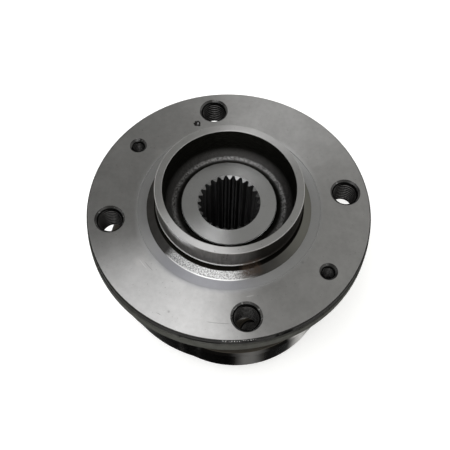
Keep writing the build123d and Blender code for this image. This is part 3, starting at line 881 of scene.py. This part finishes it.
class HUB_OT_cut_threads(HubOperator):
    """Cut the threads of the wheel bolt, disc screw and knuckle bolt holes"""

    bl_idname = "hub.cut_threads"
    bl_label = "Cut Threads"

    def execute(self, context):
        sizes = context.scene.hub_threads
        material = thread_finish()
        circles = (
            ("wheel_bolt_threads", "hub", "hub_steel", sizes.wheel_radius, sizes.wheel_pitch,
             WHEEL_THREAD_TOP, BOLT_RING_BACK + WHEEL_THREAD_STOP, *WHEEL_BOLTS),
            ("disc_screw_threads", "hub", "hub_steel", sizes.screw_radius, sizes.screw_pitch,
             SCREW_THREAD_TOP, BOLT_RING_BACK + SCREW_THREAD_STOP, *DISC_SCREWS),
            ("knuckle_bolt_threads", "outer_ring", "ring_steel", sizes.mount_radius,
             sizes.mount_pitch, MOUNT_TOP - MOUNT_THREAD_STOP, MOUNT_FACE + MOUNT_THREAD_STOP,
             *KNUCKLE_BOLTS),
        )
        for name, body, slot, radius, pitch, top, bottom, circle, holes, first in circles:
            turns = (top - bottom) * MM / pitch
            make_threads(name, body, material, {
                "Radius": radius,
                "Depth": THREAD_DEPTH * pitch,
                "Pitch": pitch,
                "Turns": turns,
                "Top": top * MM,
                "Circle": circle * MM,
                "First Angle": math.radians(first),
                "Holes": holes,
                "Steps": round(turns * sizes.turn_steps) + 1,
            })
        return {"FINISHED"}


class HUB_OT_build_studio(HubOperator):
    """Lay the floor, hang the lamps and place the camera"""

    bl_idname = "hub.build_studio"
    bl_label = "Build Studio"

    def execute(self, context):
        studio = context.scene.hub_studio
        lay_floor(studio)
        light_world(studio)
        for lamp in LAMPS:
            hang_lamp(*lamp)
        place_camera(studio)
        context.scene.view_settings.view_transform = "Standard"
        return {"FINISHED"}


# ---------------------------------------------------------------- studio

# Name, place and aim in metres, width, depth, brightness and colour.
LAMPS = (
    ("overhead_softbox", (-0.33, -0.15, 0.85), (-0.33, -0.15, 0.0), 0.69, 0.95, 0.55,
     (0.985, 0.99, 1.0)),
    ("fill_softbox", (-0.16, -0.48, 0.92), (0.0, 0.0, 0.0), 0.70, 0.70, 0.4,
     (1.0, 0.995, 0.985)),
)


def direction(azimuth, elevation):
    """Unit vector at an azimuth and elevation in radians."""
    flat = math.cos(elevation)
    return Vector((flat * math.cos(azimuth), flat * math.sin(azimuth), math.sin(elevation)))


def lay_floor(studio):
    """White floor under the swaged end. It keeps the object's shadow."""
    half = studio.floor_size / 2
    ground = hub_low.z
    mesh = bpy.data.meshes.new("floor")
    corners = [
        (-half, -half, ground),
        (half, -half, ground),
        (half, half, ground),
        (-half, half, ground),
    ]
    mesh.from_pydata(corners, [], [(0, 1, 2, 3)])
    floor = bpy.data.objects.new("floor", mesh)
    bpy.context.scene.collection.objects.link(floor)

    material = bpy.data.materials.new("floor_white")
    material.use_nodes = True
    tree = Tree(material.node_tree)
    material.node_tree.nodes.clear()
    seen = seen_rays(tree)
    diffuse = tree.add("ShaderNodeBsdfDiffuse", {"Color": (0.92, 0.92, 0.92, 1.0)})
    glow = tree.add("ShaderNodeEmission", {
        "Color": (1.0, 1.0, 1.0, 1.0),
        "Strength": seen * studio.floor_glow,
    })
    both = tree.add("ShaderNodeAddShader", {0: diffuse, 1: glow})
    tree.add("ShaderNodeOutputMaterial", {0: both})
    mesh.materials.append(material)


def seen_rays(tree):
    """1 for rays from the camera, from a gloss or through glass."""
    light_path = tree.tree.nodes.new("ShaderNodeLightPath")
    rays = [Value(tree, light_path.outputs[name])
            for name in ("Is Camera Ray", "Is Glossy Ray", "Is Transmission Ray")]
    return rays[0].most(rays[1]).most(rays[2])


def light_world(studio):
    """White backdrop for the eye, and for gloss a white horizon under a dim ceiling."""
    world = bpy.data.worlds.new("studio")
    world.use_nodes = True
    bpy.context.scene.world = world
    tree = Tree(world.node_tree)
    world.node_tree.nodes.clear()
    toward = tree.add("ShaderNodeTexCoord", output=0)
    split = tree.add("ShaderNodeSeparateXYZ", {0: toward}).socket.node
    height = Value(tree, split.outputs[2])
    side = Value(tree, split.outputs[0])
    ceiling = (1.0 + side * studio.ceiling_slope).most(0.4).least(2.4) * studio.ceiling
    lift = tree.add("ShaderNodeMapRange", {0: height, 1: 0.12, 2: 0.4, 3: 1.0, 4: ceiling})
    light_path = tree.tree.nodes.new("ShaderNodeLightPath")
    camera = Value(tree, light_path.outputs["Is Camera Ray"])
    diffuse = Value(tree, light_path.outputs["Is Diffuse Ray"])
    lift = lift.most(diffuse * studio.room_light)
    room = tree.add("ShaderNodeBackground", {"Color": (1.0, 0.998, 0.965, 1.0), "Strength": lift})
    white = tree.add("ShaderNodeBackground", {"Color": (1.0, 1.0, 1.0, 1.0), "Strength": 1.0})
    mixed = tree.add("ShaderNodeMixShader", {0: camera, 1: room, 2: white})
    tree.add("ShaderNodeOutputWorld", {0: mixed})


def hang_lamp(name, place, aim, width, depth, brightness, colour):
    """A softbox at a place, facing its aim. Brightness is what a mirror shows of it."""
    light = bpy.data.lights.new(name, "AREA")
    light.shape = "RECTANGLE"
    light.size = width
    light.size_y = depth
    light.color = colour
    light.energy = brightness * math.pi ** 2 * width * depth
    lamp = bpy.data.objects.new(name, light)
    lamp.location = place
    lamp.rotation_euler = (Vector(place) - Vector(aim)).to_track_quat("Z", "Y").to_euler()
    lamp.visible_camera = False
    bpy.context.scene.collection.objects.link(lamp)


def place_camera(studio):
    """The camera, looking down at the wheel face."""
    data = bpy.data.cameras.new("camera")
    data.lens = studio.lens
    data.sensor_width = 36.0
    data.clip_start = 0.01
    camera = bpy.data.objects.new("camera", data)
    place = direction(studio.azimuth, studio.elevation) * studio.distance
    look = Vector(studio.aim) - place
    turn = look.to_track_quat("-Z", "Y").to_matrix() @ Matrix.Rotation(studio.roll, 3, "Z")
    camera.matrix_world = Matrix.Translation(place) @ turn.to_4x4()
    bpy.context.scene.collection.objects.link(camera)
    bpy.context.scene.camera = camera


# ---------------------------------------------------------------- panel and registration

OPERATORS = (
    HUB_OT_finish_hub,
    HUB_OT_finish_outer_ring,
    HUB_OT_finish_bearing,
    HUB_OT_finish_seals,
    HUB_OT_cut_threads,
    HUB_OT_build_studio,
)


class HUB_PT_panel(bpy.types.Panel):
    """Sidebar panel that lists the operators and their settings."""

    bl_label = "Hub Bearing"
    bl_idname = "HUB_PT_panel"
    bl_space_type = "VIEW_3D"
    bl_region_type = "UI"
    bl_category = "Hub Bearing"

    def draw(self, context):
        column = self.layout.column()
        for operator in OPERATORS:
            column.operator(operator.bl_idname)
        for settings in (context.scene.hub_threads, context.scene.hub_studio):
            box = self.layout.box()
            for name in settings.__annotations__:
                box.prop(settings, name)


CLASSES = (HubThreadSizes, HubStudio, *OPERATORS, HUB_PT_panel)


def register():
    for cls in CLASSES:
        bpy.utils.register_class(cls)
    bpy.types.Scene.hub_threads = PointerProperty(type=HubThreadSizes)
    bpy.types.Scene.hub_studio = PointerProperty(type=HubStudio)


def unregister():
    del bpy.types.Scene.hub_studio
    del bpy.types.Scene.hub_threads
    for cls in reversed(CLASSES):
        bpy.utils.unregister_class(cls)


def main():
    register()
    for operator in OPERATORS:
        group, name = operator.bl_idname.split(".")
        getattr(getattr(bpy.ops, group), name)()


if __name__ == "__main__":
    main()
